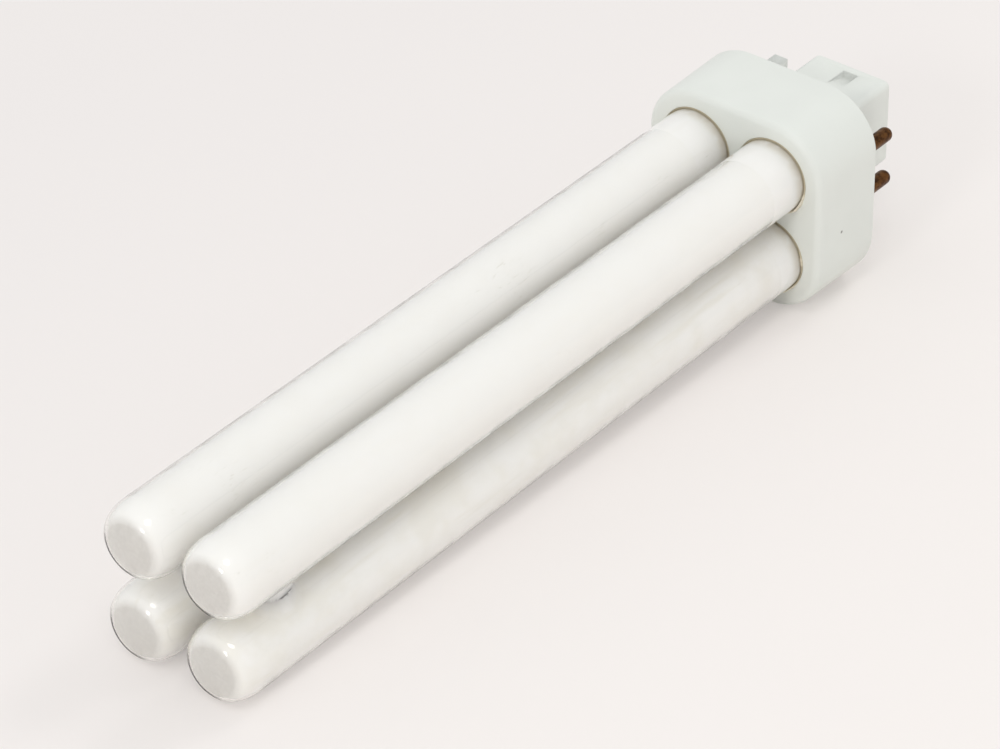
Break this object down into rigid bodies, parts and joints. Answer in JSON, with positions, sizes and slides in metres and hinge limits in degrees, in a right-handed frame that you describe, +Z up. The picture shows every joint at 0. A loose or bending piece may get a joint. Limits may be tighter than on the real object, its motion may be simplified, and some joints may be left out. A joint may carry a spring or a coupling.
{
  "type": "four pin compact fluorescent lamp",
  "caption": "Compact fluorescent lamp: parallel joined glass limbs in a rounded square plastic holder, with round contact pins beside a keyed post.",
  "frame": {"origin": "centre of the pin pattern on the seating face, where the pins leave the holder, on the lamp's axis", "axes": "+X along the lamp's axis from the glass towards the tips of the pins, +Y across the two rows of pins, +Z up as the lamp lies on a table"},
  "size_m": [0.1628, 0.0336, 0.0336],
  "materials": {
    "coated_glass": "glossy clear glass over a white powder coating",
    "white_plastic": "satin moulded white plastic",
    "pin_brass": "brass darkened to brown",
    "lead_metal": "drawn wire",
    "cement": "matt cream cement"
  },
  "bodies": {
    "root": {"discharge_tube": "coated_glass", "cap_shell": "white_plastic", "pin_base": "white_plastic", "contact_pin_1": "pin_brass", "contact_pin_2": "pin_brass", "contact_pin_3": "pin_brass", "contact_pin_4": "pin_brass", "lead_wire_1": "lead_metal", "lead_wire_2": "lead_metal", "lead_wire_3": "lead_metal", "lead_wire_4": "lead_metal", "cement_ring_1": "cement", "cement_ring_2": "cement", "cement_ring_3": "cement", "cement_ring_4": "cement"}
  },
  "joints": []
}
